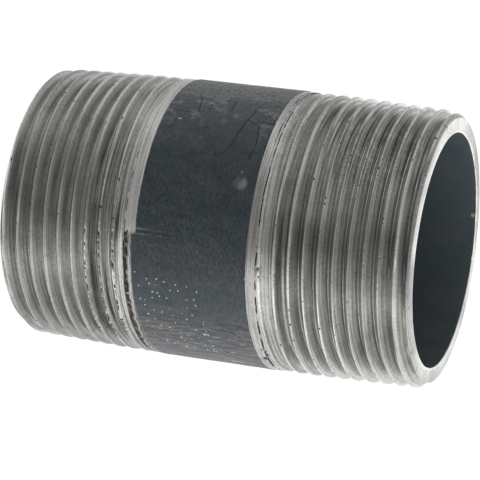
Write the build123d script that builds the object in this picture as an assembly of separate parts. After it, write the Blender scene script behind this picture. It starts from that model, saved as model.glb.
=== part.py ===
from build123d import *
import math
import os

# A short steel pipe nipple: 1-1/4 inch pipe, schedule 40, 2-1/2 inches long, with an American taper
# pipe thread cut on each end. Millimetres. The pipe lies along X with its bore's axis at Z = 0, and
# the origin is on that axis at mid-length. "near" is the +X end and "far" is the -X end.
INCH = 25.4
LENGTH = 2.5 * INCH
OUTER_RADIUS = 1.660 * INCH / 2
WALL = 0.140 * INCH
BORE_RADIUS = OUTER_RADIUS - WALL

# The thread: 11.5 turns to the inch, 60 degree form, 1 in 16 taper on diameter.
PITCH = INCH / 11.5
TAPER = 1 / 32
PITCH_RADIUS_AT_FACE = 1.55713 * INCH / 2
THREAD_DEPTH = 0.76 * PITCH
FLANK_SLOPE = math.tan(math.radians(30))
THREAD_FLAT = PITCH / 2 - THREAD_DEPTH * FLANK_SLOPE
CREST_RADIUS_AT_FACE = PITCH_RADIUS_AT_FACE + THREAD_DEPTH / 2
ROOT_RADIUS_AT_FACE = PITCH_RADIUS_AT_FACE - THREAD_DEPTH / 2
CREST_CONE_LENGTH = (OUTER_RADIUS - CREST_RADIUS_AT_FACE) / TAPER

# Each thread's length from its end face to the shoulder where the die stopped. Near the shoulder the
# groove's floor is the die's lead cone, which climbs to a small step there. The start angle is where
# the groove meets the end face.
THREAD_LENGTH_NEAR = 22.45
THREAD_LENGTH_FAR = 20.7
LEAD_SLOPE = 0.31
SHOULDER_STEP = 0.1
START_ANGLE_NEAR = -24.0
START_ANGLE_FAR = 26.3

# End face: outside chamfer down to FACE_RADIUS, and a small inside chamfer left by the reamer.
FACE_RADIUS = 19.7
OUTSIDE_CHAMFER = 1.1
INSIDE_CHAMFER = 0.4

# The longitudinal weld that closes the rolled strip, and its low inside bead.
SEAM_ANGLE = 13.5
SEAM_WIDTH = 1.6
BEAD_RADIUS = 1.0
BEAD_HEIGHT = 0.12

# The black lacquer left between the threads and inside the bore.
LACQUER = 0.05
LACQUER_FROM = -9.4
LACQUER_TO = 7.88

# Ink-jet dots on the lacquer: columns of dot pairs that zigzag round the pipe and spell nothing.
DOT_RADIUS = 0.16
DOT_THICKNESS = 0.03
DOT_COLUMNS = 4
DOT_COLUMN_PITCH = 2.7
DOT_PAIR_GAP = 0.7
DOT_ROWS = 14
DOT_ROW_ANGLE = 3.3
DOT_FIRST_X = -8.0
DOT_FIRST_ANGLE = -3.0
DOT_SKIP_EVERY = 3

# How the helical groove is drawn and how far its cutter overshoots the metal.
POINTS_PER_TURN = 24
LEAD_IN_TURNS = 2
OVERSHOOT = 0.03
CUTTER_TOP = 1.0
CORE_TOP = 24.0
TURN = 2 * math.pi


def radial_placement(angle, radius=0.0):
    """A place at a radius, at an angle up from -Y, with local Z pointing outwards and X along the pipe."""
    outward = Vector(0, -math.cos(math.radians(angle)), math.sin(math.radians(angle)))
    return Plane(origin=outward * radius, x_dir=(1, 0, 0), z_dir=outward)


def blank():
    """The turned blank: the pipe with its two thread cones and chamfers, before the threads are cut."""
    half = LENGTH / 2
    crest_at_chamfer = CREST_RADIUS_AT_FACE + TAPER * OUTSIDE_CHAMFER
    right_side = [
        (half - CREST_CONE_LENGTH, OUTER_RADIUS),
        (half - OUTSIDE_CHAMFER, crest_at_chamfer),
        (half, FACE_RADIUS),
        (half, BORE_RADIUS + INSIDE_CHAMFER),
        (half - INSIDE_CHAMFER, BORE_RADIUS),
    ]
    left_side = [(-x, r) for x, r in reversed(right_side)]
    outline = Polyline(*right_side, *left_side, close=True)
    return revolve(make_face(outline), axis=Axis.X)


def root_radius(distance):
    """The groove's root radius at a distance from the end face, on the thread's taper."""
    return ROOT_RADIUS_AT_FACE + TAPER * distance


def groove_point(distance, start_angle, along, outward):
    """One corner of the groove at a distance from the end face, where the groove is at its start angle."""
    radius = root_radius(distance) + outward
    angle = math.radians(start_angle) - TURN * distance / PITCH
    return Vector(LENGTH / 2 - distance + along, radius * math.cos(angle), radius * math.sin(angle))


def groove_edge(start, end, start_angle, along, outward):
    """A spline through one corner of the groove, from one distance to another."""
    steps = math.ceil((end - start) / PITCH * POINTS_PER_TURN)
    distances = [start + (end - start) * i / steps for i in range(steps + 1)]
    return Edge.make_spline([groove_point(d, start_angle, along, outward) for d in distances])


def helical_cutter(thread_length, start_angle):
    """The helical body of the near groove: a V with a root flat and straight sides above the crests."""
    flank_height = THREAD_DEPTH + OVERSHOOT
    half_root = THREAD_FLAT / 2
    half_top = half_root + flank_height * FLANK_SLOPE
    top = flank_height + CUTTER_TOP
    corners = [
        (-half_root, 0),
        (half_root, 0),
        (half_top, flank_height),
        (half_top, top),
        (-half_top, top),
        (-half_top, flank_height),
    ]
    turns = math.ceil(thread_length / PITCH) + LEAD_IN_TURNS
    stations = [thread_length + PITCH - PITCH * i for i in range(turns, -1, -1)]
    faces = []
    for start, end in zip(stations, stations[1:]):
        edges = [groove_edge(start, end, start_angle, x, r) for x, r in corners]
        for edge, next_edge in zip(edges, edges[1:] + edges[:1]):
            faces.append(Face.make_surface_from_curves(edge, next_edge))
    for distance in (stations[0], stations[-1]):
        points = [groove_point(distance, start_angle, x, r) for x, r in corners]
        faces.append(Face(Wire.make_polygon(points, close=True)))
    return Solid(Shell(faces))


def uncut_core(thread_length):
    """What the near thread's die leaves: everything inside its lead cone and behind its shoulder."""
    shoulder = LENGTH / 2 - thread_length
    cone_top = OUTER_RADIUS - SHOULDER_STEP
    cone_length = (cone_top - BORE_RADIUS) / LEAD_SLOPE
    outline = Polyline(
        (shoulder + cone_length, BORE_RADIUS),
        (shoulder, cone_top),
        (shoulder, CORE_TOP),
        (shoulder - 2 * PITCH, CORE_TOP),
        (shoulder - 2 * PITCH, BORE_RADIUS),
        close=True,
    )
    return revolve(make_face(outline), axis=Axis.X)


def groove_cutter(thread_length, start_angle):
    """All that the die removes from the near thread's crest cone."""
    return helical_cutter(thread_length, start_angle) - uncut_core(thread_length)


def threaded_tube():
    """The blank with a right-hand taper thread cut on both ends."""
    near_cutter = groove_cutter(THREAD_LENGTH_NEAR, START_ANGLE_NEAR)
    far_cutter = groove_cutter(THREAD_LENGTH_FAR, START_ANGLE_FAR).rotate(Axis.Z, 180)
    return blank() - near_cutter - far_cutter


def seam_slab():
    """The slice of the wall that the weld fills, drawn as a slab through the wall on the seam's side."""
    middle = BORE_RADIUS + WALL / 2
    slab = Box(LENGTH + 2 * WALL, SEAM_WIDTH, 2 * WALL)
    return radial_placement(SEAM_ANGLE, middle) * slab


def inside_bead(length, height):
    """The rounded ridge that the weld leaves along the bore."""
    centre = BORE_RADIUS + BEAD_RADIUS - height
    rod = Cylinder(BEAD_RADIUS, length, rotation=(0, 90, 0))
    return radial_placement(SEAM_ANGLE, centre) * rod


def tube_between(x_from, x_to, inner, outer):
    """A plain ring about the X axis."""
    ring = Circle(outer) - Circle(inner)
    return Plane(origin=(x_from, 0, 0), x_dir=(0, 1, 0), z_dir=(1, 0, 0)) * extrude(ring, x_to - x_from)


def bead_length():
    """The lacquered bore and its bead both stop at the inside chamfers."""
    return LENGTH - 2 * INSIDE_CHAMFER


def bore_zone(radius):
    """A round rod of the bore's lacquered length."""
    return Cylinder(radius, bead_length(), rotation=(0, 90, 0))


def weld_seam(tube):
    """The weld: its slice of the threaded wall, with the bead standing a little into the bore."""
    bead = inside_bead(bead_length(), BEAD_HEIGHT) & bore_zone(BORE_RADIUS)
    return (tube & seam_slab()) + bead


def bore_lacquer():
    """The thin lacquer skin on the bore, which follows the bead."""
    ring = bore_zone(BORE_RADIUS) - bore_zone(BORE_RADIUS - LACQUER)
    over_bead = inside_bead(bead_length(), BEAD_HEIGHT + LACQUER) & bore_zone(BORE_RADIUS)
    return ring + over_bead - inside_bead(bead_length(), BEAD_HEIGHT)


def outer_lacquer():
    """The lacquer sleeve left on the pipe between the two threads."""
    return tube_between(LACQUER_FROM, LACQUER_TO, OUTER_RADIUS, OUTER_RADIUS + LACQUER)


def ink_dots():
    """Small raised dots of ink: zigzag columns of pairs, with every third place left empty."""
    dots = []
    disc = Cylinder(DOT_RADIUS, DOT_THICKNESS, align=(Align.CENTER, Align.CENTER, Align.MIN))
    for column in range(DOT_COLUMNS):
        for row in range(DOT_ROWS):
            for side in range(2):
                if (column + row + side) % DOT_SKIP_EVERY == 0:
                    continue
                zigzag = DOT_PAIR_GAP / 2 * (row % 2)
                x = DOT_FIRST_X + column * DOT_COLUMN_PITCH + side * DOT_PAIR_GAP + zigzag
                angle = DOT_FIRST_ANGLE - row * DOT_ROW_ANGLE
                dots.append(radial_placement(angle, OUTER_RADIUS + LACQUER) * Pos(x, 0, 0) * disc)
    return Compound(children=dots)


def save(node, shape):
    """Writes one piece and says how large it is."""
    export_step(shape, f"parts/{node}.step")
    print(node, round(shape.volume, 2), "mm3")


def main():
    os.makedirs("parts", exist_ok=True)
    tube = threaded_tube()
    save("pipe_wall", tube - seam_slab())
    save("weld_seam", weld_seam(tube))
    save("outer_lacquer", outer_lacquer())
    save("bore_lacquer", bore_lacquer())
    save("ink_dots", ink_dots())


main()
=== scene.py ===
import math

import bpy
import numpy as np
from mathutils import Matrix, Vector


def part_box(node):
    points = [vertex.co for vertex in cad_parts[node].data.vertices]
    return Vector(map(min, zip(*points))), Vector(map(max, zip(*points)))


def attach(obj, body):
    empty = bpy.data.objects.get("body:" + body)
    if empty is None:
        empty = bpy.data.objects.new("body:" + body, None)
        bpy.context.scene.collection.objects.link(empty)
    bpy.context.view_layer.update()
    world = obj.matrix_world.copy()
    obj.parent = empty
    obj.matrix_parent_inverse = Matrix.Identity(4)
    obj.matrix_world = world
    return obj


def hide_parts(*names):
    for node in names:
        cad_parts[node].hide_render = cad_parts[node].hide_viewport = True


# The looks of the pipe nipple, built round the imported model. Surfaces are worked out in millimetres as a
# radius over "x", the place along the pipe, and "theta", the angle about the pipe from +Y towards +Z.
# "phi" is the angle up from -Y, the side that faces the camera, so phi = 180 - theta in degrees.
MM = 0.001
TURN = 2 * math.pi

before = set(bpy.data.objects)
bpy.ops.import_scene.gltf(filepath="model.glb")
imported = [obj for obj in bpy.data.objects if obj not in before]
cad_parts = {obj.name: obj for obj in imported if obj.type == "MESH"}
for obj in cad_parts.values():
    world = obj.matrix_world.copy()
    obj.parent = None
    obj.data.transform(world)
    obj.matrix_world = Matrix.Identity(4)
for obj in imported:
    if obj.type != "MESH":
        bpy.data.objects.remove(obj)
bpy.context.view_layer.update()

# Sizes taken from the imported model's parts
WALL_LOW, WALL_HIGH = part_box("pipe_wall")
HALF_LENGTH = WALL_HIGH.x / MM
OUTER_RADIUS = (WALL_HIGH.z - WALL_LOW.z) / 2 / MM
BAND_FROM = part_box("outer_lacquer")[0].x / MM
BAND_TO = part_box("outer_lacquer")[1].x / MM
LACQUER = (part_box("outer_lacquer")[1].z - WALL_HIGH.z) / MM
BORE_RUN_OUT = 0.28
BORE_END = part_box("bore_lacquer")[1].x / MM + BORE_RUN_OUT
BORE_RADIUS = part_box("bore_lacquer")[1].z / MM

# The thread and the ends, as the part's design has them
INCH = 25.4
PITCH = INCH / 11.5
TAPER = 1 / 32
THREAD_DEPTH = 0.76 * PITCH
FLANK_SLOPE = math.tan(math.radians(30))
CREST_AT_FACE = 1.55713 * INCH / 2 + THREAD_DEPTH / 2
ROOT_AT_FACE = CREST_AT_FACE - THREAD_DEPTH
THREAD_NEAR, THREAD_FAR = 22.45, 20.7
LEAD_SLOPE = 0.31
SHOULDER_STEP = 0.1
START_NEAR, START_FAR = math.radians(-24.0), math.radians(26.3)
FACE_RADIUS = 19.7
OUTSIDE_CHAMFER = 1.1
SLANT = PITCH / TURN

# The cut end's inner edge and the painted highlight beside it, and how light the face and that painted
# highlight are
INSIDE_EDGE = 0.08
EDGE_WIDTH = 0.22
FACE_TONE = 0.52
EDGE_HIGHLIGHT_TONE = 0.85

# The weld seam
SEAM_PHI = 13.5
SEAM_THETA = math.radians(180 - SEAM_PHI)
SEAM_HALF_ANGLE = 0.8 / OUTER_RADIUS
BEAD_HALF_WIDTH = 0.5
BEAD_HEIGHT = 0.12

# Small roundings of the cut steel, how ragged the shoulders are, and a radius that no cut reaches
CREST_ROUNDING = 0.012
ROOT_ROUNDING = 0.09
SHOULDER_RAGGED = 0.07
UNCUT = OUTER_RADIUS + 1

# How deep the crests' nicks and the shoulders' nicks go, and how high the burrs stand
NICK_DEPTH = 0.08
BURR_HEIGHT = 0.045
SHOULDER_NICK = 0.10
RESIDUE_DEPTH = 0.04
LIP_HEIGHT = 0.03

# How finely the steel is divided: columns round the pipe, and rows along it
COLUMNS_ROUND = 640
ROW_OFFSETS = (0.07, 0.20, 0.42, 0.66, 0.88, 0.99, 1.055)
FINE_ROW = 0.12
SHOULDER_ROW = 0.07
HIDDEN_ROW = 1.2
HIDDEN_FROM_EDGE = 1.0
CHAMFER_ZONE = 1.2
TWIST_ZONE = 3.0
SHOULDER_ZONE = 1.3


# ---------------------------------------------------------------- noise over the pipe's surface

NOISE_ROWS = 257


def smooth_step(t):
    """0 below 0, 1 above 1, and a smooth rise between."""
    t = np.clip(t, 0, 1)
    return t * t * (3 - 2 * t)


def rise(value, start, end):
    """A smooth rise from 0 to 1 while a value goes from start to end, which may be the lower of the two."""
    return smooth_step((value - start) / (end - start))


def noise(seed, x, theta, cell_x, cells_round):
    """Smooth noise from -1 to 1, in cells cell_x mm long and a whole number of them round the pipe.

    Each layer of noise in this file has a seed of its own.
    """
    table = np.random.default_rng(seed).uniform(-1, 1, (NOISE_ROWS, cells_round))
    a = x / cell_x + NOISE_ROWS // 2
    b = theta / TURN * cells_round
    i, j = np.floor(a).astype(int), np.floor(b).astype(int)
    u, v = smooth_step(a - i), smooth_step(b - j)
    i0, i1 = i % NOISE_ROWS, (i + 1) % NOISE_ROWS
    j0, j1 = j % cells_round, (j + 1) % cells_round
    low = table[i0, j0] * (1 - u) + table[i1, j0] * u
    high = table[i0, j1] * (1 - u) + table[i1, j1] * u
    return low * (1 - v) + high * v


def rough_noise(seed, x, theta, cell_x, cells_round, octaves=3):
    """Noise with finer and weaker layers on top."""
    total = 0
    for k in range(octaves):
        total = total + noise(seed + k, x, theta, cell_x / 2**k, cells_round * 2**k) / 2**k
    return total / (2 - 2 ** (1 - octaves))


def ring_noise(seed, theta, cells_round, octaves):
    """Rough noise that changes only round the pipe."""
    return rough_noise(seed, theta * 0, theta, 1, cells_round, octaves)


def phi_of(theta):
    """Degrees up from -Y, from -180 to 180."""
    return (180 - np.degrees(theta) + 180) % 360 - 180


def patch(x, theta, x_mid, phi_mid, x_half, phi_half):
    """1 in the middle of an oval patch, falling smoothly to 0 at its rim."""
    across = (x - x_mid) / x_half
    round_pipe = ((phi_of(theta) - phi_mid + 180) % 360 - 180) / phi_half
    return smooth_step(1.3 - np.sqrt(across**2 + round_pipe**2))


def bell(distance, width):
    """1 at distance 0, falling to almost 0 at a few widths."""
    return np.exp(-((distance / width) ** 2))


# ---------------------------------------------------------------- the steel's outer surface


def blank_radius(x):
    """The turned blank: end face chamfer, thread cone and the pipe's own outside."""
    inward = HALF_LENGTH - np.abs(x)
    cone = CREST_AT_FACE + TAPER * inward
    chamfer_top = CREST_AT_FACE + TAPER * OUTSIDE_CHAMFER
    chamfer = FACE_RADIUS + (chamfer_top - FACE_RADIUS) * inward / OUTSIDE_CHAMFER
    return np.minimum(np.minimum(cone, chamfer), OUTER_RADIUS)


def groove_place(far):
    """Where a thread's groove lies at theta = 0, modulo the pitch."""
    if far:
        return -HALF_LENGTH + (START_FAR - math.pi) * SLANT
    return HALF_LENGTH - START_NEAR * SLANT


def groove_offset(x, theta, far):
    """Signed distance along the pipe from the nearest groove's middle."""
    along = x - theta * SLANT - groove_place(far)
    return (along + PITCH / 2) % PITCH - PITCH / 2


def shoulder_distance(x, theta, far):
    """How far a point is from the die's ragged shoulder, positive on the threaded side."""
    inward = HALF_LENGTH + x if far else HALF_LENGTH - x
    length = THREAD_FAR if far else THREAD_NEAR
    return length + SHOULDER_RAGGED * ring_noise(31 + far, theta, 90, 4) - inward


def groove_radius(x, theta, far):
    """The radius that one thread's die leaves, and more than the pipe's own beyond its shoulder."""
    inward = HALF_LENGTH + x if far else HALF_LENGTH - x
    offset = groove_offset(x, theta, far)
    flank = (np.sqrt(offset**2 + ROOT_ROUNDING**2) - ROOT_ROUNDING) / FLANK_SLOPE
    groove = ROOT_AT_FACE + TAPER * inward + flank
    before = shoulder_distance(x, theta, far)
    lead_cone = OUTER_RADIUS - SHOULDER_STEP - LEAD_SLOPE * before
    return np.where(before > 0, np.maximum(groove, lead_cone), UNCUT)


def soft_min(rounding, *values):
    """The least of some surfaces, with their meeting edges rounded a little."""
    least = np.minimum.reduce(values)
    total = sum(np.exp(np.clip((least - v) / rounding, -60, 0)) for v in values)
    return least - rounding * np.log(total)


def torn_share(x, theta):
    """How torn the crests are: most in the far thread's inner turns below the seam, a little elsewhere."""
    torn = 0.22 + 1.2 * patch(x, theta, -14.5, -10, 5.0, 42)
    torn = torn + 0.40 * patch(x, theta, 24, 60, 10, 50)
    return torn + 0.25 * smooth_step(rough_noise(61, x, theta, 6, 9) * 2)


def crest_marks(x, theta, crest):
    """Nicks and small burrs along the crests, as a change of radius, and where they are."""
    torn = torn_share(x, theta)
    fine = rough_noise(71, x, theta, 0.35, 300, 2)
    nick = smooth_step((fine - 0.66 + 0.45 * torn) / 0.2)
    burr = smooth_step((-fine - 0.74 + 0.4 * torn) / 0.2)
    wander = 0.010 * rough_noise(75, x, theta, 2.2, 40)
    return crest * (wander - NICK_DEPTH * nick + BURR_HEIGHT * burr), crest * nick, crest * burr


def dashed_line(seed, distance, width, theta):
    """A thin ragged line round the pipe, broken into uneven dashes and dots."""
    wander = 0.05 * ring_noise(seed, theta, 120, 4)
    broken = smooth_step(0.75 + 1.5 * ring_noise(seed + 7, theta, 130, 4))
    return bell(distance + wander, width) * broken


def shoulder_lines(theta, near, far):
    """The dashed lines at both shoulders, from the distances to them, and a second one above the near."""
    phi = phi_of(theta)
    lines = dashed_line(81, near - 0.03, 0.08, theta)
    lines = lines + 0.8 * rise(phi, 38, 52) * dashed_line(301, near + 0.45, 0.07, theta)
    return lines + dashed_line(321, far - 0.03, 0.09, theta) * (0.5 + 0.5 * rise(phi, 62, 37))


def burnt_residue(x, theta):
    """The black crumbs that the far die left below the seam, and the bright lip beside them."""
    phi = phi_of(theta)
    scorched = rise(phi, 19, 11) * rise(phi, -150, -90)
    from_shoulder = x + HALF_LENGTH - THREAD_FAR
    edge = 0.24 * ring_noise(85, theta, 260, 4)
    other_edge = 0.30 * ring_noise(341, theta, 190, 5)
    band = smooth_step((from_shoulder + 0.10 + edge) / 0.10)
    band = band * smooth_step((0.62 + other_edge - from_shoulder) / 0.10)
    crumbs = smooth_step(0.80 + 1.4 * rough_noise(88, x, theta, 0.2, 320, 2))
    lip = scorched * bell(from_shoulder - 0.90 - other_edge, 0.09)
    return 0.9 * scorched * band * crumbs, lip


def shoulder_marks(x, theta):
    """What the dies left at their shoulders, as a change of radius, black stain and a bright lip."""
    lines = shoulder_lines(theta, shoulder_distance(x, theta, False), shoulder_distance(x, theta, True))
    residue, lip = burnt_residue(x, theta)
    flakes = smooth_step((rough_noise(361, x, theta, 0.45, 260, 3) - 0.12) / 0.15)
    residue = np.maximum(residue, flakes * patch(x, theta, 8.8, -41, 1.0, 7))
    crumbly = residue * (1 + noise(89, x, theta, 0.3, 330))
    change = -SHOULDER_NICK * lines - RESIDUE_DEPTH * crumbly + LIP_HEIGHT * lip
    return change, np.clip(lines + residue, 0, 1), lip


def near_thread_tone(x, theta, depth, crest):
    """How light the near thread is, as painted light and shade: painted shade down the flanks into the roots
    and a painted highlight on the crests, a painted highlight high up on its outer turns, painted shade below
    the seam and on the underside, and a painted dull band round the front.
    """
    phi = phi_of(theta)
    # Painted shade deeper in the groove, and a painted highlight on the crests
    tone = 0.45 + 0.22 * (1 - depth) ** 2 + crest * 0.14
    # Painted highlight high up on the outer turns
    tone = tone * (1 + 0.44 * patch(x, theta, 23, 62, 13, 24))
    # Painted shade on the front and underside
    tone = tone * (1 - 0.15 * darker_below(phi, 25, -20) - 0.18 * darker_below(phi, -5, -40))
    tone = tone * (1 - 0.14 * rise(x, 19, 14))
    # Painted dull band round the front, from just below to well above the seam
    return tone * (1 - 0.17 * rise(phi, -8, 4) * rise(phi, 34, 20))


def far_thread_tone(x, theta, depth, crest):
    """How light the far thread is, as painted light and shade: painted shade down the flanks into the roots
    and a painted highlight on the crests, painted shade below the seam and on the underside, and a painted
    dull band beside the seam on the outer turns.
    """
    phi = phi_of(theta)
    # Painted shade deeper in the groove, and a painted highlight on the crests
    tone = 0.45 + 0.15 * (1 - depth) ** 2 + crest * 0.12
    # Painted shade on the front and underside
    tone = tone * (1 - 0.16 * darker_below(phi, 25, -20) - 0.26 * darker_below(phi, -5, -40))
    # Painted dull band beside the seam on the outer turns
    return tone * (1 - 0.17 * rise(phi, -9, 5) * rise(phi, 56, 40) * rise(x, -17, -21))


def near_ring_tone(phi):
    """How light the bare ring between the near thread and the lacquer is: a painted highlight over the top,
    painted shade on the front and underside, and a painted dull band round the front.
    """
    # Painted highlight over the top, and painted shade on the front and underside
    tone = 0.45 + 0.10 * rise(phi, 38, 52) * rise(phi, 200, 160) - 0.08 * darker_below(phi, 25, -20)
    # Painted dull band round the front
    return tone * (1 - 0.10 * rise(phi, -14, -4) * rise(phi, 24, 12))


def far_ring_tone(phi):
    """How light the bare ring between the far thread and the lacquer is: bright above the seam only, with a
    painted highlight just above it, a little painted shade over the top and on the underside, and darker
    below the seam.
    """
    # Painted highlight just above the seam, and a little painted shade over the top
    tone = 0.72 + 0.28 * rise(phi, 34, 22) - 0.08 * rise(phi, 38, 50) * rise(phi, 84, 72)
    # Darker below the seam, and painted shade on the underside
    return tone - 0.74 * darker_below(phi, SEAM_PHI + 1, SEAM_PHI - 2) - 0.13 * darker_below(phi, -5, -40)


def face_tone(phi):
    """How light the chamfers are where they meet the end faces, as painted light: brighter at the front and
    over the top.
    """
    # Painted light at the front and over the top of the chamfers
    front = rise(phi, -40, -25) * rise(phi, 4, -8)
    top = rise(phi, 58, 72) * rise(phi, 150, 120)
    return 0.38 + 0.10 * front + 0.20 * top


def darker_below(phi, starts_at, full):
    """Darkening towards the front and underside, which begins at one phi and is full at another. Its uses
    from phi 25 and -5 downward on the threads and rings are painted shade.
    """
    return rise(phi, starts_at, full) * rise(phi, -176, -116)


def steel_tone(x, theta, depth, threaded, crest):
    """How light the bare metal is, on the threads, the rings and the chamfers, with the painted light and
    shade of each.
    """
    phi = phi_of(theta)
    near, far = near_thread_tone(x, theta, depth, crest), far_thread_tone(x, theta, depth, crest)
    thread = np.where(x < 0, far, near)
    ring = np.where(x < 0, far_ring_tone(phi), near_ring_tone(phi))
    tone = np.where(threaded, thread, ring)
    ragged = 0.30 * ring_noise(331, theta, 90, 4)
    on_face = smooth_step((np.abs(x) - HALF_LENGTH + 0.95 + ragged) / 0.12)
    return tone + (face_tone(phi) - tone) * on_face


def steel_marks(x, theta):
    """Where the die and the lathe left ticks, hard scoring, and lines combed along the thread."""
    ticked = patch(x, theta, 24, 62, 8, 27) + patch(x, theta, 10.6, 68, 1.1, 26)
    ticked = ticked + patch(x, theta, -15.6, -24, 2.4, 34)
    far_scored = 0.72 * patch(x, theta, -14.2, 0, 4.4, 200) * (1 - 0.6 * rise(phi_of(theta), 40, 60))
    return {
        "chatter": ticked,
        "scored": far_scored + 0.5 * patch(x, theta, 12.5, 0, 3.2, 200),
        "combed": patch(x, theta, 23, 66, 12, 34) + 0.5 * patch(x, theta, 23, -20, 12, 34),
    }


def steel_surface(x, theta):
    """The steel's radius and its painted facts, which its material reads."""
    blank = blank_radius(x)
    near, far = groove_radius(x, theta, False), groove_radius(x, theta, True)
    radius = soft_min(CREST_ROUNDING, blank, near, far)
    depth = np.clip((blank - radius) / THREAD_DEPTH, 0, 1)
    inside = np.maximum(shoulder_distance(x, theta, False), shoulder_distance(x, theta, True))
    threaded = inside > 0.2
    crest = np.where(threaded, 1 - smooth_step(depth / 0.12), 0)
    crest_change, nick, burr = crest_marks(x, theta, crest)
    line_change, stain, lip = shoulder_marks(x, theta)
    tooth_marks = 0.006 * rough_noise(91, x, theta, 0.35, 12, 2) * np.where(threaded, 1, 0)
    facts = {
        # The tone carries the painted light and shade of the threads, rings and chamfers
        "tone": steel_tone(x, theta, depth, threaded, crest),
        "stain": np.clip(stain + 0.8 * nick, 0, 1),
        "burr": np.clip(burr + 0.8 * lip, 0, 1),
        "slant": depth,
        "plain": 1.0 - threaded,
    }
    return radius + crest_change + line_change + tooth_marks, facts | steel_marks(x, theta)


# ---------------------------------------------------------------- meshes


def add_facts(mesh, kind, field, facts):
    """Vertex attributes of one kind for a mesh's material, by name."""
    for label, values in facts.items():
        attribute = mesh.attributes.new(label, kind, "POINT")
        attribute.data.foreach_set(field, values.astype(np.float32).ravel())


def mesh_object(name, faces, polar, facts, sharp_degrees=38):
    """A mesh piece in the root body, from its points' places and lists of faces of equal size."""
    mesh = bpy.data.meshes.new(name)
    points = ring_points(polar)
    mesh.vertices.add(len(points))
    mesh.vertices.foreach_set("co", (points * MM).astype(np.float32).ravel())
    corners = np.concatenate([f.ravel() for f in faces]).astype(np.int32)
    sizes = np.concatenate([np.full(len(f), f.shape[1]) for f in faces]).astype(np.int32)
    mesh.loops.add(len(corners))
    mesh.loops.foreach_set("vertex_index", corners)
    mesh.polygons.add(len(sizes))
    starts = np.concatenate([[0], np.cumsum(sizes)[:-1]]).astype(np.int32)
    mesh.polygons.foreach_set("loop_start", starts)
    mesh.update(calc_edges=True)
    if mesh.validate():
        raise ValueError(name + " has faces that don't hold together")
    places = {"unrolled": unrolled_place(polar), "grooved": grooved_place(polar)}
    add_facts(mesh, "FLOAT_VECTOR", "vector", places)
    add_facts(mesh, "FLOAT", "value", facts)
    mesh.shade_smooth()
    mesh.set_sharp_from_angle(angle=math.radians(sharp_degrees))
    piece = bpy.data.objects.new(name, mesh)
    bpy.context.scene.collection.objects.link(piece)
    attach(piece, "root")
    return piece


def polar_grid(x, radius, theta):
    """Places along the pipe, radii and angles, stacked as one array."""
    return np.stack(np.broadcast_arrays(x, radius, theta), -1)


def ring_points(polar):
    """Points in millimetres from places along the pipe, radii and angles."""
    x, radius, theta = polar[..., 0], polar[..., 1], polar[..., 2]
    return np.stack([x, radius * np.cos(theta), radius * np.sin(theta)], -1).reshape(-1, 3)


def unrolled_place(polar):
    """Where a point is for the materials' grain: on one fixed circle, and along the pipe's profile."""
    x, radius, theta = (polar[..., k].ravel() for k in range(3))
    round_pipe = OUTER_RADIUS * np.cos(theta), OUTER_RADIUS * np.sin(theta)
    on_face = (np.abs(x) > HALF_LENGTH - OUTSIDE_CHAMFER) * (OUTER_RADIUS - radius)
    return np.stack([*round_pipe, x + np.sign(x) * on_face], -1)


def grooved_place(polar):
    """Where a point is for grain that follows the thread: on a small loop, once round for each groove."""
    x, theta = polar[..., 0].ravel(), polar[..., 2].ravel()
    turn = groove_offset(x, theta, False) / SLANT
    return np.stack([SLANT * np.cos(turn), SLANT * np.sin(turn), x], -1)


def grid_quads(index):
    """Quads between neighbouring rows and columns of an index grid, facing out on the outer surface."""
    corners = [index[:-1, :-1], index[1:, :-1], index[1:, 1:], index[:-1, 1:]]
    return np.stack(corners, -1).reshape(-1, 4)


def closed_ring_quads(polar):
    """Quads over a grid that closes both round the pipe and from its last row to its first."""
    index = np.arange(polar.shape[0] * polar.shape[1]).reshape(polar.shape[:2])
    index = np.concatenate([index, index[:1]])
    return grid_quads(np.concatenate([index, index[:, :1]], axis=1))


def even_rows(low, high, step):
    """Places from low up to but not including high, about a step apart."""
    return np.linspace(low, high, max(1, round((high - low) / step)), endpoint=False)


def twist_share(s):
    """How much a row at s follows the helix: fully in the threads, and not at the ends or in between."""
    inward = HALF_LENGTH - np.abs(s)
    shoulder = np.where(s > 0, THREAD_NEAR, THREAD_FAR)
    rise = smooth_step((inward - CHAMFER_ZONE) / TWIST_ZONE)
    fall = smooth_step((shoulder - SHOULDER_ZONE - inward) / TWIST_ZONE)
    return rise * fall


def thread_rows(far, theta_mid):
    """Rows along one thread's fully twisted part, which lie on its crests, flanks and roots."""
    length = THREAD_FAR if far else THREAD_NEAR
    outer = HALF_LENGTH - CHAMFER_ZONE - TWIST_ZONE
    inner = HALF_LENGTH - length + SHOULDER_ZONE + TWIST_ZONE
    low, high = (-outer, -inner) if far else (inner, outer)
    middle = groove_place(far) + theta_mid * SLANT
    offsets = np.array(sorted([-o for o in ROW_OFFSETS] + list(ROW_OFFSETS)))
    most_turns = round(2 * HALF_LENGTH / PITCH) + 1
    turns = np.arange(-most_turns, most_turns + 1)[:, None] * PITCH
    rows = (middle + turns + offsets).ravel()
    return np.concatenate([[low], rows[(rows > low + 0.03) & (rows < high - 0.03)]])


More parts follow.
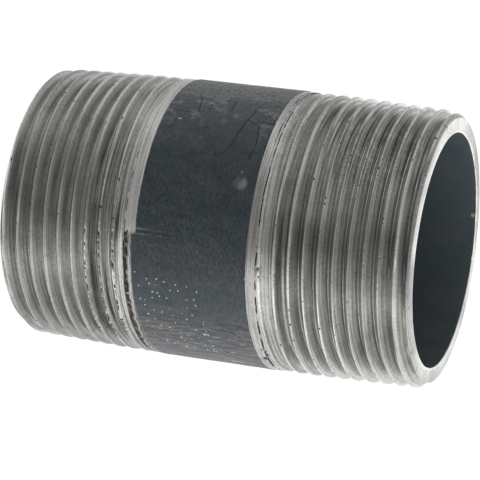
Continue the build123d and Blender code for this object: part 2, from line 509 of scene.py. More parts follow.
def steel_rows(theta_mid):
    """All rows of the steel's outer surface from the far end to the near end, before they are twisted."""
    far_shoulder = -HALF_LENGTH + THREAD_FAR
    near_shoulder = HALF_LENGTH - THREAD_NEAR
    twist_end = HALF_LENGTH - CHAMFER_ZONE - TWIST_ZONE
    run = SHOULDER_ZONE + TWIST_ZONE
    hidden_from, hidden_to = BAND_FROM + HIDDEN_FROM_EDGE, BAND_TO - HIDDEN_FROM_EDGE
    return np.concatenate(
        [
            even_rows(-HALF_LENGTH, -twist_end, FINE_ROW),
            thread_rows(True, theta_mid),
            even_rows(far_shoulder - run, far_shoulder - SHOULDER_ZONE, FINE_ROW),
            even_rows(far_shoulder - SHOULDER_ZONE, far_shoulder + SHOULDER_ZONE, SHOULDER_ROW),
            even_rows(far_shoulder + SHOULDER_ZONE, hidden_from, 2 * FINE_ROW),
            even_rows(hidden_from, hidden_to, HIDDEN_ROW),
            even_rows(hidden_to, near_shoulder - 0.4, 2 * FINE_ROW),
            even_rows(near_shoulder - 0.4, near_shoulder + SHOULDER_ZONE, SHOULDER_ROW),
            even_rows(near_shoulder + SHOULDER_ZONE, near_shoulder + run, FINE_ROW),
            thread_rows(False, theta_mid),
            even_rows(twist_end, HALF_LENGTH, FINE_ROW),
            [HALF_LENGTH],
        ]
    )


def end_loops(theta):
    """The loops from the near end face through the bore to the far one, as places, radii and tones."""
    chip = 0.15 * ring_noise(95, theta, 70, 4) + 0.06 * ring_noise(99, theta, 9, 1)
    near_depth = INSIDE_EDGE + np.clip(chip, 0, 1)
    rim = BORE_RADIUS + near_depth
    bore = np.full_like(theta, BORE_RADIUS)
    face = np.full_like(theta, HALF_LENGTH)
    return [
        (face, rim + EDGE_WIDTH, FACE_TONE),
        # The painted highlight along the bore's edge and its small chamfer
        (face, rim, EDGE_HIGHLIGHT_TONE),
        (HALF_LENGTH - near_depth, bore, EDGE_HIGHLIGHT_TONE),
        (-HALF_LENGTH + near_depth, bore, EDGE_HIGHLIGHT_TONE),
        (-face, rim, EDGE_HIGHLIGHT_TONE),
        (-face, rim + EDGE_WIDTH, FACE_TONE),
    ]


def steel_shell(name, theta_low, theta_high, columns):
    """A closed sector of the steel: its threaded outside, end faces, bore and the two slit walls."""
    theta = np.linspace(theta_low, theta_high, columns)
    theta_mid = (theta_low + theta_high) / 2
    rows = steel_rows(theta_mid)
    x = rows[:, None] + twist_share(rows)[:, None] * (theta - theta_mid)[None, :] * SLANT
    angles = np.broadcast_to(theta, x.shape)
    radius, facts = steel_surface(x, angles)
    loops = end_loops(theta)
    ends = [polar_grid(place, loop_radius, theta)[None] for place, loop_radius, _ in loops]
    polar = np.concatenate([polar_grid(x, radius, angles), *ends])
    index = np.arange(len(polar) * columns).reshape(-1, columns)
    closed = np.concatenate([index, index[:1]])
    sides = np.stack([index[:, 0], index[::-1, -1]])
    tones = np.array([tone for _, _, tone in loops])[:, None] * np.ones(columns)
    for label, values in facts.items():
        facts[label] = np.concatenate([values, tones if label == "tone" else 0 * tones])
    return mesh_object(name, [grid_quads(closed), sides], polar, facts)


# ---------------------------------------------------------------- the lacquer band

# Cracks and scratches as lines of places along the pipe in mm and phi in degrees, with a width in mm
CRACKS = (
    (((4.1, 77), (3.6, 68), (3.0, 60), (2.5, 53)), 0.13),
    (((3.6, 67.5), (4.6, 66), (6.0, 66.8), (7.9, 67)), 0.12),
    (((5.6, 65), (6.2, 56), (5.9, 48)), 0.09),
    (((6.3, 72), (7.7, 68)), 0.10),
    (((0.3, 79), (0.35, 72)), 0.13),
    (((-5.6, 82), (-4.8, 76), (-4.4, 70)), 0.12),
    (((2.7, -23), (5.0, -22.8), (6.8, -22.7), (7.6, -25)), 0.14),
    (((1.2, -25.5), (2.5, -27), (5.0, -27), (6.2, -29.5)), 0.12),
    (((-9.0, 69), (-5.5, 68.5), (-3.6, 70)), 0.07),
)

# Pits and rusty spots, each with a size in mm, and the places of the one chip and the pale smudge
PITS = (
    (-3.0, 74.5, 0.4),
    (-2.8, 72, 0.35),
    (-1.9, 60.6, 0.3),
    (0.5, 48.5, 0.35),
    (-0.8, 79, 0.5),
    (6.2, 7, 0.25),
)
RUSTY = ((1.8, 64, 0.35), (5.8, 61, 0.45), (6.6, 79, 0.6), (-8.6, 62, 0.5), (6.0, -20, 0.4))
CHIP = (-6.65, 64.3)
SMUDGE = (5.5, 37.6)
SMUDGE_SPECK = (5.4, 42.2)

# Relief of the lacquer in millimetres
WRINKLE = 0.13
STROKE = 0.075
BRUSHED = 0.010
DASH = 0.012
SEAM_LINE = 0.03
CRACK_DEPTH = 0.028
CHIP_DEPTH = 0.04
EDGE_ROUNDING = 0.14

BAND_ROWS = 200
BAND_COLUMNS = 1000
EMBEDDED = 0.02


def arc_mm(theta, phi_mid):
    """Distance round the pipe from a phi, in millimetres."""
    return np.radians((phi_of(theta) - phi_mid + 180) % 360 - 180) * OUTER_RADIUS


def line_distance(x, theta, line):
    """Distance in millimetres from a broken line of (x, phi) points."""
    nearest = np.full(np.shape(x), 1e3)
    y = arc_mm(theta, 0)
    for (x0, phi0), (x1, phi1) in zip(line, line[1:]):
        y0, y1 = math.radians(phi0) * OUTER_RADIUS, math.radians(phi1) * OUTER_RADIUS
        dx, dy = x1 - x0, y1 - y0
        t = np.clip(((x - x0) * dx + (y - y0) * dy) / (dx * dx + dy * dy), 0, 1)
        nearest = np.minimum(nearest, np.hypot(x - x0 - t * dx, y - y0 - t * dy))
    return nearest


def away_from(x, theta, place):
    """Distance in millimetres over the surface from an (x, phi) place."""
    return np.hypot(x - place[0], arc_mm(theta, place[1]))


def crack_depth(x, theta):
    """How deep in a crack or pit each point is, from 0 to 1."""
    wander = 0.16 * rough_noise(101, x, theta, 0.9, 150)
    broken = smooth_step(1.1 + rough_noise(105, x, theta, 0.6, 220, 2))
    deep = 0
    for line, width in CRACKS:
        distance = line_distance(x + wander, theta + wander / OUTER_RADIUS, line)
        deep = np.maximum(deep, bell(distance, width) * broken)
    for x_mid, phi_mid, size in PITS:
        away = np.hypot(x - x_mid + wander, arc_mm(theta, phi_mid) + wander)
        deep = np.maximum(deep, bell(away, size * 0.7))
    specks = rough_noise(111, x, theta, 0.45, 290, 2)
    return np.maximum(deep, rise(specks, 0.78, 0.90))


def seam_lines(x, theta):
    """The two fine raised lines that the weld shows in the lacquer, strongest at the band's far edge."""
    fade = rise(x, 4.5, -7.5) * smooth_step(0.85 + 0.9 * rough_noise(115, x, theta, 1.1, 30))
    wander = 0.07 * noise(117, x, theta, 2.5, 9)
    low = bell(arc_mm(theta, SEAM_PHI - 0.6) + wander, 0.08) * rise(x, 2, -8)
    high = bell(arc_mm(theta, SEAM_PHI + 1.4) + wander, 0.10) * 0.8
    return fade * np.maximum(low, high)


def seam_groove(x, theta):
    """The dark line between the weld's two raised ones."""
    broken = smooth_step(0.7 + 1.2 * rough_noise(351, x, theta, 0.8, 60))
    across = arc_mm(theta, SEAM_PHI + 0.5) + 0.05 * noise(353, x, theta, 1.5, 9)
    return bell(across, 0.08) * broken * rise(x, 5, -3)


def band_edges(theta):
    """The lacquer's ragged far and near edges along the pipe: the far one steps out below the seam."""
    phi = phi_of(theta)
    fine = ring_noise(121, theta, 150, 4)
    other = ring_noise(127, theta, 110, 5)
    coarse = ring_noise(133, theta, 14, 1)
    step = rise(phi, SEAM_PHI - 0.2, SEAM_PHI - 1.4) * rise(phi, -55, -5)
    chips = rise(other, 0.45, 0.65) * 0.13
    far = BAND_FROM + 0.05 + 0.05 * fine + 0.04 * coarse - 0.5 * step
    near = BAND_TO - 0.03 + 0.045 * other - 0.05 * coarse - chips + 0.12 * rise(phi, -20, -50)
    return far, near


def chip_and_halo(x, theta):
    """The one chip down to bare metal, and the rusty halo round it."""
    shape = np.hypot((x - CHIP[0]) / 1.25, arc_mm(theta, CHIP[1]) / 0.45)
    chip = smooth_step((0.34 - shape + 0.12 * rough_noise(161, x, theta, 0.5, 250, 2)) / 0.1)
    return chip, bell(shape, 0.75) * (1 - chip)


def pale_smudge(x, theta):
    """The pale cloudy smudge and how much its relief shows."""
    cloudy = smooth_step(0.75 + 0.8 * rough_noise(171, x, theta, 0.55, 200))
    lopsided = 0.45 + 0.55 * bell(x - SMUDGE[0] - 0.7, 0.7)
    smudge = smooth_step((1.45 - away_from(x, theta, SMUDGE)) / 0.9) * cloudy * lopsided
    return smudge, smudge * cloudy


def band_relief(x, theta):
    """How far the lacquer stands off its nominal face, and its painted facts."""
    phi = phi_of(theta)
    over_top = rise(phi, 46, 88) * rise(phi, 150, 120)
    below = rise(phi, -14, -32) * rise(phi, -160, -130)
    front = np.abs(phi - 18) / 30
    lumps = rough_noise(151, x, theta, 1.6, 110, 4)
    brush = rough_noise(157, x + 16 * theta, theta, 2.2, 330, 3)
    seam = seam_lines(x, theta)
    chip, halo = chip_and_halo(x, theta)
    smudge, smudge_relief = pale_smudge(x, theta)
    speck = bell(away_from(x, theta, SMUDGE_SPECK), 0.18)
    crack = np.maximum(crack_depth(x, theta), 0.7 * seam_groove(x, theta))
    relief = BRUSHED * rough_noise(141, x, theta, 0.9, 150) * (1 - over_top)
    relief = relief + DASH * rough_noise(145, x, theta, 0.28, 110, 2) * smooth_step(1.2 - front)
    relief = relief + WRINKLE * (0.5 - np.abs(lumps)) * over_top + STROKE * below * brush
    relief = relief + SEAM_LINE * seam + 0.012 * smudge_relief - CRACK_DEPTH * crack - CHIP_DEPTH * chip
    # Wear on the wrinkles' high spots, and a painted sheen lighter over the top
    worn_and_sheen = over_top * (0.45 + rise(lumps, 0.1, 0.4)) + 0.45 * rise(phi, 77, 90)
    facts = {
        "worn_and_sheen": np.clip(worn_and_sheen, 0, 1),
        "dusty": below * np.clip(0.47 + 3.0 * brush, 0, 1.4),
        "leathery": smooth_step(1.3 - np.abs(phi - 15) / 30),
        "crack": crack,
        "bare": chip,
        "rust": np.clip(halo + rusty_spots(x, theta), 0, 1),
        "pale": np.clip(smudge + speck + seam * (0.55 + 0.75 * rise(x, -6.5, -9.5)), 0, 1),
    }
    return relief, facts


def rusty_spots(x, theta):
    """Where rust tints the lacquer: a few spots, and along the near edge above the seam."""
    spots = sum(bell(away_from(x, theta, spot), spot[2]) for spot in RUSTY)
    phi = phi_of(theta)
    edge = bell(x - BAND_TO + 0.1, 0.35) * rise(phi, -2, 6) * rise(phi, 90, 78)
    return 0.8 * spots + 0.9 * edge * smooth_step(0.6 + rough_noise(175, x, theta, 0.8, 120))


def lacquer_band():
    """The lacquer sleeve: a ragged-edged coat with its wrinkles, cracks, chips and the weld's lines."""
    theta = np.linspace(0, TURN, BAND_COLUMNS, endpoint=False)
    far, near = band_edges(theta)
    t = np.linspace(0, 1, BAND_ROWS)
    crowded = t - 0.05 * np.sin(TURN * t)
    x = far + (near - far) * crowded[:, None]
    angles = np.broadcast_to(theta, x.shape)
    relief, facts = band_relief(x, angles)
    from_edge = np.minimum(x - far, near - x)
    rounded = np.sqrt(np.clip(1 - (1 - np.clip(from_edge / EDGE_ROUNDING, 0, 1)) ** 2, 0, 1))
    lip = 0.02 * bell(from_edge - 0.16, 0.12)
    radius = OUTER_RADIUS + rounded * (LACQUER + relief + lip)
    back = np.stack([near, far])
    polar = np.concatenate([polar_grid(x, radius, angles), polar_grid(back, OUTER_RADIUS - EMBEDDED, theta)])
    facts = {label: np.concatenate([values, 0 * back]) for label, values in facts.items()}
    return mesh_object("lacquer_band", [closed_ring_quads(polar)], polar, facts, 60)


# ---------------------------------------------------------------- the lacquered bore

LINER_ROWS = 150
LINER_COLUMNS = 480
SCRAPE_PHI = 182
THIN_EDGE = 0.005


def bore_liner():
    """The lacquer inside the pipe: uneven, following the weld's bead, and thin where it meets the ends."""
    theta = np.linspace(0, TURN, LINER_COLUMNS, endpoint=False)
    x = np.linspace(-BORE_END, BORE_END, LINER_ROWS)[:, None] + 0 * theta
    angles = np.broadcast_to(theta, x.shape)
    from_seam = arc_mm(angles, SEAM_PHI) * BORE_RADIUS / OUTER_RADIUS
    bead = BEAD_HEIGHT * np.clip(1 - (from_seam / BEAD_HALF_WIDTH) ** 2, 0, 1)
    uneven = 0.022 * rough_noise(181, x, angles, 5, 26) + 0.008 * rough_noise(187, x, angles, 0.9, 110)
    sags = 0.015 * rough_noise(191, x, angles, 14, 60)
    thin_end = smooth_step((BORE_END - np.abs(x)) / 0.3)
    thickness = THIN_EDGE + (LACQUER + bead + uneven + sags - THIN_EDGE) * thin_end
    scrape = patch(x, angles, BORE_END - 0.5, SCRAPE_PHI, 0.8, 1.8)
    scrape = np.clip(scrape * (0.5 + 0.5 * rough_noise(195, x, angles, 0.3, 200)), 0, 1)
    back = np.array([-BORE_END, BORE_END])[:, None] + 0 * theta
    coat = polar_grid(x, BORE_RADIUS - thickness, angles)[::-1]
    polar = np.concatenate([coat, polar_grid(back, BORE_RADIUS + EMBEDDED, theta)])
    facts = {"scrape": np.concatenate([scrape[::-1], 0 * back])}
    return mesh_object("bore_liner", [closed_ring_quads(polar)], polar, facts, 60)


# ---------------------------------------------------------------- ink

INK_COLUMNS, INK_ROWS = 7, 12
INK_FROM_X, INK_COLUMN_PITCH = -8.9, 1.45
INK_FROM_PHI, INK_ROW_ANGLE = -3.5, 3.3
INK_COLUMN_DROP = 0.8
INK_SLANT = 0.034
INK_SMALL, INK_LARGE = 0.085, 0.165
INK_SIDES = 12

# A drop's rings from its foot to its top, as shares of its size and heights in mm, and its middle's height
INK_SHARES = np.array([1.0, 0.8, 0.4])
INK_HEIGHTS = np.array([-0.02, 0.022, 0.032])
INK_TOP = 0.034


def ink_drop(random, column, row):
    """The places of one low dome's points: its rings from the foot up, and its middle."""
    phi = INK_FROM_PHI - INK_ROW_ANGLE * (row + random.normal(0, 0.25)) - INK_COLUMN_DROP * column
    x = INK_FROM_X + INK_COLUMN_PITCH * (column + random.normal(0, 0.16)) - INK_SLANT * phi
    size = random.uniform(INK_SMALL, INK_LARGE)
    around = np.arange(INK_SIDES) / INK_SIDES * TURN
    reach = INK_SHARES[:, None] * size * (1 + 0.18 * random.normal(0, 1, INK_SIDES))
    theta = math.radians(180 - phi) + np.append(reach * np.cos(around), 0) / OUTER_RADIUS
    place = x + np.append(reach * np.sin(around), 0)
    lift = band_relief(place, theta)[0] + np.append(np.repeat(INK_HEIGHTS, INK_SIDES), INK_TOP)
    return polar_grid(place, OUTER_RADIUS + LACQUER + lift, theta)


def drop_faces(first):
    """One dome's faces, from the number of its first point."""
    ring = np.arange(INK_SIDES) + first
    turned = np.roll(ring, -1)
    faces = []
    for k in range(len(INK_SHARES) - 1):
        low, high = ring + k * INK_SIDES, turned + k * INK_SIDES
        faces.append(np.stack([low, low + INK_SIDES, high + INK_SIDES, high], -1))
    last = (len(INK_SHARES) - 1) * INK_SIDES
    top = np.full(INK_SIDES, first + last + INK_SIDES)
    return [*faces, np.stack([ring + last, top, turned + last], -1), ring[None]]


def ink_spots():
    """Small dried drops of ink in slanting columns that spell nothing, each with a shape of its own."""
    random = np.random.default_rng(201)
    faces, drops = [], []
    for column in range(INK_COLUMNS):
        for row in range(INK_ROWS):
            skipped = random.random() < 0.08 + 0.03 * abs(row - 5)
            if not skipped:
                faces += drop_faces(sum(len(drop) for drop in drops))
                drops.append(ink_drop(random, column, row))
    return mesh_object("ink_spots", faces, np.concatenate(drops), {})


# ---------------------------------------------------------------- materials

# Colours of the steel, the lacquer, the bore's lining and the ink
BLACK = (0.0, 0.0, 0.0)
STEEL = (1.0, 1.0, 0.965)
BURR = (0.88, 0.88, 0.85)
RESIDUE = (0.034, 0.031, 0.027)
LACQUER_DARK, LACQUER_LIGHT = (0.056, 0.078, 0.089), (0.085, 0.108, 0.118)
DASHES = (0.018, 0.027, 0.034)
DUST = (0.215, 0.185, 0.186)
WORN_AND_SHEEN = (0.44, 0.465, 0.475)
PALE = (0.42, 0.45, 0.46)
RUST = (0.085, 0.045, 0.028)
CRACKED = (0.012, 0.013, 0.015)
CHIPPED = (0.80, 0.76, 0.70)
# Painted shade for the lacquer's creases
CREASE_SHADE = (0.016, 0.020, 0.024)
LINER_DARK, LINER_LIGHT = (0.098, 0.126, 0.140), (0.124, 0.148, 0.162)
LINER_PITTED = (0.045, 0.060, 0.070)
LINER_SPECK = (0.20, 0.13, 0.09)
SCRAPED = (0.60, 0.50, 0.34)
INK_THIN, INK_THICK = (0.50, 0.54, 0.55), (0.88, 0.91, 0.91)

# Chatter ticks round the whole pipe
TICKS = 380


class Surface:
    """A Principled material with short ways to add and join nodes."""

    def __init__(self, name, roughness, metallic=0.0, level=0.5):
        self.material = bpy.data.materials.new(name)
        self.material.use_nodes = True
        self.nodes = self.material.node_tree.nodes
        self.links = self.material.node_tree.links
        self.shader = self.nodes["Principled BSDF"]
        self.shader.inputs["Roughness"].default_value = roughness
        self.shader.inputs["Metallic"].default_value = metallic
        self.shader.inputs["Specular IOR Level"].default_value = level

    def put(self, socket, value):
        """Sets a socket to a number or colour, or joins another node's output to it."""
        if isinstance(value, bpy.types.NodeSocket):
            self.links.new(value, socket)
        elif isinstance(value, tuple) and len(value) == 3 and socket.type == "RGBA":
            socket.default_value = (*value, 1)
        else:
            socket.default_value = value

    def fact(self, name):
        """A vertex attribute's value."""
        node = self.nodes.new("ShaderNodeAttribute")
        node.attribute_name = name
        return node.outputs["Fac"]

    def math(self, operation, *values, clamp=False):
        """One Math node's result."""
        node = self.nodes.new("ShaderNodeMath")
        node.operation = operation
        node.use_clamp = clamp
        for socket, value in zip(node.inputs, values):
            self.put(socket, value)
        return node.outputs[0]

    def add(self, a, b, clamp=False):
        """The sum of two values."""
        return self.math("ADD", a, b, clamp=clamp)

    def times(self, *values):
        """The product of some values."""
        product = values[0]
        for value in values[1:]:
            product = self.math("MULTIPLY", product, value)
        return product

    def place(self, name, scales=(1, 1, 1)):
        """A vector attribute, with each part scaled."""
        place = self.nodes.new("ShaderNodeAttribute")
        place.attribute_name = name
        scale = self.nodes.new("ShaderNodeVectorMath")
        scale.operation = "MULTIPLY"
        scale.inputs[1].default_value = scales
        self.links.new(place.outputs["Vector"], scale.inputs[0])
        return scale.outputs[0]

    def split(self, vector):
        """A vector's parts by their letters."""
        node = self.nodes.new("ShaderNodeSeparateXYZ")
        self.links.new(vector, node.inputs[0])
        return node.outputs

    def noise(self, vector, detail, rough):
        """A noise node over a place."""
        node = self.nodes.new("ShaderNodeTexNoise")
        node.inputs["Scale"].default_value = 1.0
        node.inputs["Detail"].default_value = detail
        node.inputs["Roughness"].default_value = rough
        self.links.new(vector, node.inputs["Vector"])
        return node

    def grain(self, round_scale, along_scale, detail=2.0, rough=0.5):
        """Noise over the unrolled surface, with its own cells per mm round and along the pipe."""
        place = self.place("unrolled", (round_scale, round_scale, along_scale))
        return self.noise(place, detail, rough).outputs["Fac"]

    def groove_grain(self, round_scale, along_scale, detail=2.0, rough=0.5):
        """Noise drawn out along the thread's grooves, the same way a die's teeth leave their marks.

        It has four dimensions: two go round the groove's loop and two round the pipe.
        """
        across = self.place("grooved", (along_scale, along_scale, 0.1))
        round_pipe = self.split(self.place("unrolled", (round_scale, round_scale, 0.0)))
        raised = self.nodes.new("ShaderNodeCombineXYZ")
        self.links.new(round_pipe["Y"], raised.inputs["Z"])
        whole = self.nodes.new("ShaderNodeVectorMath")
        self.links.new(across, whole.inputs[0])
        self.links.new(raised.outputs[0], whole.inputs[1])
        node = self.noise(whole.outputs[0], detail, rough)
        node.noise_dimensions = "4D"
        self.links.new(round_pipe["X"], node.inputs["W"])
        return node.outputs["Fac"]

    def ticks_round(self, count, lean):
        """Even ticks, a whole number of them round the pipe, leaned over by a value."""
        round_pipe = self.split(self.place("unrolled"))
        angle = self.math("ARCTAN2", round_pipe["Y"], round_pipe["X"])
        return self.math("SINE", self.add(self.times(angle, float(count)), lean))

    def range(self, value, low, high, to_low=0.0, to_high=1.0):
        """A smooth rise of a value from low to high."""
        node = self.nodes.new("ShaderNodeMapRange")
        node.interpolation_type = "SMOOTHSTEP"
        self.put(node.inputs["Value"], value)
        for label, number in (("From Min", low), ("From Max", high), ("To Min", to_low), ("To Max", to_high)):
            node.inputs[label].default_value = number
        return node.outputs["Result"]

    def mix(self, share, a, b):
        """Colour a going over to colour b."""
        node = self.nodes.new("ShaderNodeMix")
        node.data_type = "RGBA"
        self.put(node.inputs["Factor"], share)
        self.put(node.inputs["A"], a)
        self.put(node.inputs["B"], b)
        return node.outputs["Result"]

    def bump(self, height, depth_mm, below=None):
        """Relief with the given full height in millimetres, over another relief if there is one."""
        node = self.nodes.new("ShaderNodeBump")
        node.inputs["Distance"].default_value = depth_mm * MM
        self.put(node.inputs["Height"], height)
        if below is not None:
            self.put(node.inputs["Normal"], below)
        return node.outputs["Normal"]

    def finish(self, colour, roughness=None, normal=None, metallic=None):
        """Joins the results to the shader."""
        self.put(self.shader.inputs["Base Color"], colour)
        if roughness is not None:
            self.put(self.shader.inputs["Roughness"], roughness)
        if normal is not None:
            self.put(self.shader.inputs["Normal"], normal)
        if metallic is not None:
            self.put(self.shader.inputs["Metallic"], metallic)
        return self.material


def steel_tone_lines(s, mottle):
    """The steel's painted tone with its tool marks, and the lines and ticks that its relief needs too."""
    plain = s.fact("plain")
    along_thread = s.times(s.groove_grain(0.05, 4.6, 1.5, 0.6), s.math("SUBTRACT", 1.0, plain))
    lines = s.add(along_thread, s.times(s.grain(0.08, 6.5, 1.0, 0.6), plain))
    hair = s.grain(0.06, 4.4, 0.5)
    scoring = s.times(s.range(hair, 0.50, 0.57), s.fact("scored"))
    combing = s.times(s.range(s.groove_grain(0.09, 7.0, 0.5), 0.49, 0.56), s.fact("combed"))
    lean = s.add(s.times(s.fact("slant"), 14.0), s.times(mottle, 3.0))
    ticks = s.times(s.range(s.ticks_round(TICKS, lean), 0.0, 0.8), s.fact("chatter"))
    ticks = s.times(ticks, s.range(s.grain(0.9, 1.6, 1.0), 0.30, 0.46))
    # The tone fact carries painted light and shade into the steel's colour
    tone = s.times(
        s.fact("tone"),
        s.range(lines, 0.40, 0.60, 0.66, 1.11),
        s.range(mottle, 0.48, 0.70, 1.05, 0.82),
        s.range(s.grain(0.22, 0.22, 3.0, 0.6), 0.40, 0.72, 1.04, 0.88),
        s.range(scoring, 0.0, 1.0, 1.14, 0.42),
        s.range(combing, 0.0, 1.0, 1.20, 0.48),
    )
    tone = s.math("MULTIPLY", tone, s.range(ticks, 0.0, 1.0, 1.06, 0.52), clamp=True)
    return tone, lines, hair, ticks


def steel_material():
    """Oily die-cut steel: tooth marks along the thread, turned lines, stains and bright burrs."""
    s = Surface("bare_steel", 0.35, metallic=1.0)
    mottle = s.grain(3.0, 3.4, 2.0, 0.6)
    stain = s.fact("stain")
    tone, lines, hair, ticks = steel_tone_lines(s, mottle)
    colour = s.mix(tone, BLACK, STEEL)
    colour = s.mix(s.range(s.fact("burr"), 0.2, 0.8, 0.0, 0.65), colour, BURR)
    colour = s.mix(s.range(stain, 0.15, 0.70), colour, RESIDUE)
    roughness = s.add(s.range(mottle, 0.3, 0.7, 0.28, 0.42), s.range(stain, 0.2, 0.8, 0.0, 0.4), True)
    normal = s.bump(lines, 0.045)
    normal = s.bump(hair, 0.012, normal)
    normal = s.bump(mottle, 0.014, normal)
    normal = s.bump(ticks, -0.02, normal)
    return s.finish(colour, roughness, normal, s.range(stain, 0.3, 0.8, 1.0, 0.0))


def lacquer_material():
    """Dark blue-grey lacquer over mill scale: dusty below, wear and a painted sheen on top, with chips, rust
    and smears.
    """
    s = Surface("band_lacquer", 0.42)
    cloud = s.grain(0.5, 0.35, 4.0, 0.6)
    fine = s.grain(3.2, 3.2, 3.0, 0.65)
    dashes = s.grain(1.3, 3.6, 3.0, 0.65)
    leather = s.grain(1.5, 2.1, 3.0, 0.65)
    dusty, worn_and_sheen = s.fact("dusty"), s.fact("worn_and_sheen")
    rough = s.add(s.fact("leathery"), worn_and_sheen, True)
    colour = s.mix(s.range(cloud, 0.35, 0.7), LACQUER_DARK, LACQUER_LIGHT)
    colour = s.mix(s.range(dashes, 0.48, 0.64, 0.0, 0.60), colour, DASHES)
    colour = s.mix(s.times(dusty, s.range(fine, 0.3, 0.7, 0.25, 1.0)), colour, DUST)
    # Wear and painted sheen over the top
    colour = s.mix(s.times(worn_and_sheen, s.range(fine, 0.35, 0.65, 0.35, 1.0)), colour, WORN_AND_SHEEN)
    colour = s.mix(s.range(s.fact("pale"), 0.0, 1.0, 0.0, 0.75), colour, PALE)
    colour = s.mix(s.range(s.fact("rust"), 0.1, 0.9, 0.0, 0.6), colour, RUST)
    colour = s.mix(s.range(s.fact("crack"), 0.10, 0.8, 0.0, 0.85), colour, CRACKED)
    colour = s.mix(s.range(s.fact("bare"), 0.2, 0.8), colour, CHIPPED)
    # Painted shade in thin wiggly creases over the leathery and rubbed lacquer
    crease_shade = s.range(s.math("ABSOLUTE", s.math("SUBTRACT", leather, 0.5)), 0.0, 0.045, 1.0, 0.0)
    colour = s.mix(s.times(crease_shade, rough, 0.80), colour, CREASE_SHADE)
    roughness = s.add(s.range(fine, 0.3, 0.7, 0.32, 0.50), s.range(dusty, 0.0, 1.0, 0.0, 0.12), True)
    normal = s.bump(fine, 0.050)
    normal = s.bump(dashes, 0.050, normal)
    normal = s.bump(s.times(leather, rough), 0.12, normal)
    return s.finish(colour, roughness, normal)


def liner_material():
    """The same lacquer inside the bore, thinner and smoother, with small brown specks."""
    s = Surface("bore_lacquer_coat", 0.45)
    cloud = s.grain(0.25, 0.12, 4.0, 0.6)
    fine = s.grain(2.2, 2.2, 3.0, 0.65)
    speck = s.grain(1.4, 1.4, 1.0)
    colour = s.mix(s.range(cloud, 0.3, 0.7), LINER_DARK, LINER_LIGHT)
    colour = s.mix(s.range(fine, 0.5, 0.8, 0.0, 0.4), colour, LINER_PITTED)
    colour = s.mix(s.range(speck, 0.76, 0.82, 0.0, 0.8), colour, LINER_SPECK)
    colour = s.mix(s.range(s.fact("scrape"), 0.3, 0.6), colour, SCRAPED)
    roughness = s.range(fine, 0.3, 0.7, 0.40, 0.55)
    return s.finish(colour, roughness, s.bump(fine, 0.030))


def ink_material():
    """Dried white ink, a little uneven."""
    s = Surface("white_ink", 0.6)
    uneven = s.range(s.grain(1.3, 1.3, 2.0), 0.35, 0.65)
    return s.finish(s.mix(uneven, INK_THIN, INK_THICK))


# ---------------------------------------------------------------- studio

FLOOR_SIZE = 6.0
FLOOR_GREY = (0.08, 0.08, 0.08, 1)
FLOOR_DIM_Y, FLOOR_BRIGHT_Y = -0.22, -0.05
FLOOR_DIM, FLOOR_BRIGHT = 0.35, 1.0
CAMERA_AZIMUTH = math.radians(20.153)
CAMERA_ELEVATION = math.radians(21.004)
CAMERA_DISTANCE = 0.3583
CAMERA_AIM_RIGHT = -0.00062
CAMERA_AIM_UP = -0.002366
CAMERA_LENS = 176.74
SENSOR_WIDTH = 36
NEAREST_SEEN = 0.01


def add_camera():
    """The camera, to the front right of the pipe and above it."""
    ca, sa = math.cos(CAMERA_AZIMUTH), math.sin(CAMERA_AZIMUTH)
    ce, se = math.cos(CAMERA_ELEVATION), math.sin(CAMERA_ELEVATION)
    back = Vector((sa * ce, -ca * ce, se))
    right = Vector((ca, sa, 0))
    up = back.cross(right)
    data = bpy.data.cameras.new("camera")
    data.lens = CAMERA_LENS
    data.sensor_width = SENSOR_WIDTH
    data.clip_start = NEAREST_SEEN
    camera = bpy.data.objects.new("camera", data)
    bpy.context.scene.collection.objects.link(camera)
    camera.location = right * CAMERA_AIM_RIGHT + up * CAMERA_AIM_UP + back * CAMERA_DISTANCE
    camera.rotation_euler = back.to_track_quat("Z", "Y").to_euler()
    bpy.context.scene.camera = camera


def add_floor():
    """A plain pale floor under the lacquer band: bright by its own light round the pipe, dimmer in front."""
    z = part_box("outer_lacquer")[0].z
    bpy.ops.mesh.primitive_plane_add(size=FLOOR_SIZE, location=(0, 0, z))
    floor = bpy.context.object
    floor.name = "floor"
    material = bpy.data.materials.new("floor")
    material.use_nodes = True
    nodes, links = material.node_tree.nodes, material.node_tree.links
    shader = nodes["Principled BSDF"]
    shader.inputs["Base Color"].default_value = FLOOR_GREY
    shader.inputs["Roughness"].default_value = 1.0
    shader.inputs["Specular IOR Level"].default_value = 0.0
    place = nodes.new("ShaderNodeNewGeometry")
    split = nodes.new("ShaderNodeSeparateXYZ")
    ramp = nodes.new("ShaderNodeMapRange")
    ramp.interpolation_type = "SMOOTHSTEP"
    ramp.inputs["From Min"].default_value = FLOOR_DIM_Y
    ramp.inputs["From Max"].default_value = FLOOR_BRIGHT_Y
    ramp.inputs["To Min"].default_value = FLOOR_DIM
    ramp.inputs["To Max"].default_value = FLOOR_BRIGHT
    shader.inputs["Emission Color"].default_value = (1, 1, 1, 1)
    links.new(place.outputs["Position"], split.inputs[0])
    links.new(split.outputs["Y"], ramp.inputs["Value"])
    links.new(ramp.outputs["Result"], shader.inputs["Emission Strength"])
    floor.data.materials.append(material)


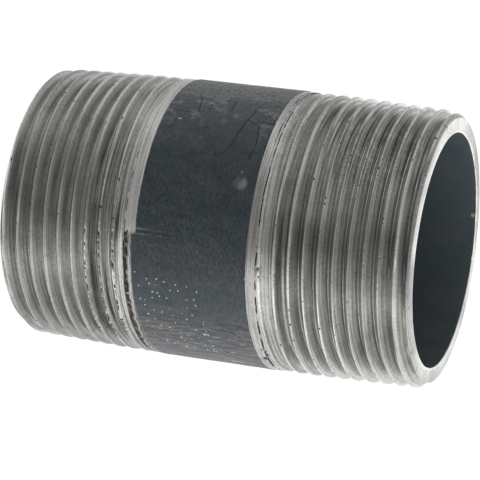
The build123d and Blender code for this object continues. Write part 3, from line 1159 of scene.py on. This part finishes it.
# The tent's axis, towards its far top, and its brightness at cosines of the angle from that axis
TENT_AXIS = (0, 0.8, 0.6)
TENT_STOPS = (
    (-1.0, 0.20),
    (-0.65, 0.22),
    (-0.3, 0.27),
    (0.1, 0.32),
    (0.4, 0.40),
    (0.62, 0.47),
    (0.84, 0.43),
    (1.0, 0.37),
)


def add_world():
    """A light tent: dark where the camera looks in, and brighter overhead and behind the pipe."""
    world = bpy.data.worlds.new("studio")
    bpy.context.scene.world = world
    world.use_nodes = True
    nodes, links = world.node_tree.nodes, world.node_tree.links
    place = nodes.new("ShaderNodeTexCoord")
    along = nodes.new("ShaderNodeVectorMath")
    along.operation = "DOT_PRODUCT"
    along.inputs[1].default_value = TENT_AXIS
    share = nodes.new("ShaderNodeMapRange")
    share.inputs["From Min"].default_value = -1
    ramp = nodes.new("ShaderNodeValToRGB")
    while len(ramp.color_ramp.elements) < len(TENT_STOPS):
        ramp.color_ramp.elements.new(0.5)
    for stop, (height, level) in zip(ramp.color_ramp.elements, TENT_STOPS):
        stop.position = (height + 1) / 2
        stop.color = (level, level, level, 1)
    links.new(place.outputs["Generated"], along.inputs[0])
    links.new(along.outputs["Value"], share.inputs["Value"])
    links.new(share.outputs["Result"], ramp.inputs["Fac"])
    links.new(ramp.outputs["Color"], nodes["Background"].inputs["Color"])


# ---------------------------------------------------------------- the scene

columns_in_seam = max(4, round(COLUMNS_ROUND * 2 * SEAM_HALF_ANGLE / TURN))
wall_low = SEAM_THETA + SEAM_HALF_ANGLE
wall = steel_shell("threaded_pipe_wall", wall_low, wall_low + TURN - 2 * SEAM_HALF_ANGLE, COLUMNS_ROUND)
seam = steel_shell("seam_strip", SEAM_THETA - SEAM_HALF_ANGLE, wall_low, columns_in_seam)
band = lacquer_band()
liner = bore_liner()
spots = ink_spots()
steel = steel_material()
for piece, node, slot, material in (
    (wall, "pipe_wall", "bare_steel", steel),
    (seam, "weld_seam", "weld_steel", steel),
    (band, "outer_lacquer", "outer_lacquer", lacquer_material()),
    (liner, "bore_lacquer", "bore_lacquer", liner_material()),
    (spots, "ink_dots", "ink", ink_material()),
):
    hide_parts(node)
    piece.data.materials.append(material)
add_camera()
add_floor()
add_world()
bpy.context.scene.view_settings.view_transform = "Standard"
